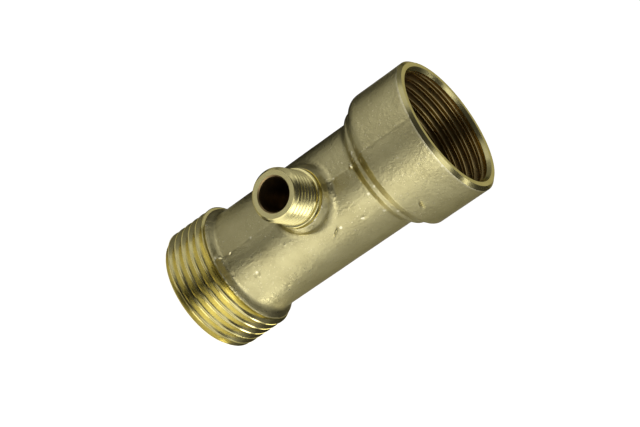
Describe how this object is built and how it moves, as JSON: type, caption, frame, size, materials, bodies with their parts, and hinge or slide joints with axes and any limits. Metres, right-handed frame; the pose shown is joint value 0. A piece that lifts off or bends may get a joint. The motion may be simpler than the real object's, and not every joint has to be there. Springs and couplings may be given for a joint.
{
  "type": "threaded pipe fitting",
  "caption": "Cast brass pipe fitting with an outside-threaded foot, an inside-threaded bell at the other end and a small outside-threaded port on its side.",
  "frame": {"origin": "centre of the end face of the outside-threaded end, on the axis of the run, on which the fitting stands", "axes": "+Z along the axis of the run, from the outside thread up to the mouth of the bell; +X along the axis of the side port, away from the run"},
  "size_m": [0.0443, 0.0364, 0.078],
  "materials": {
    "brass": "satin as-cast skin, bright turned threads"
  },
  "bodies": {
    "root": {"fitting_body": "brass"}
  },
  "joints": []
}
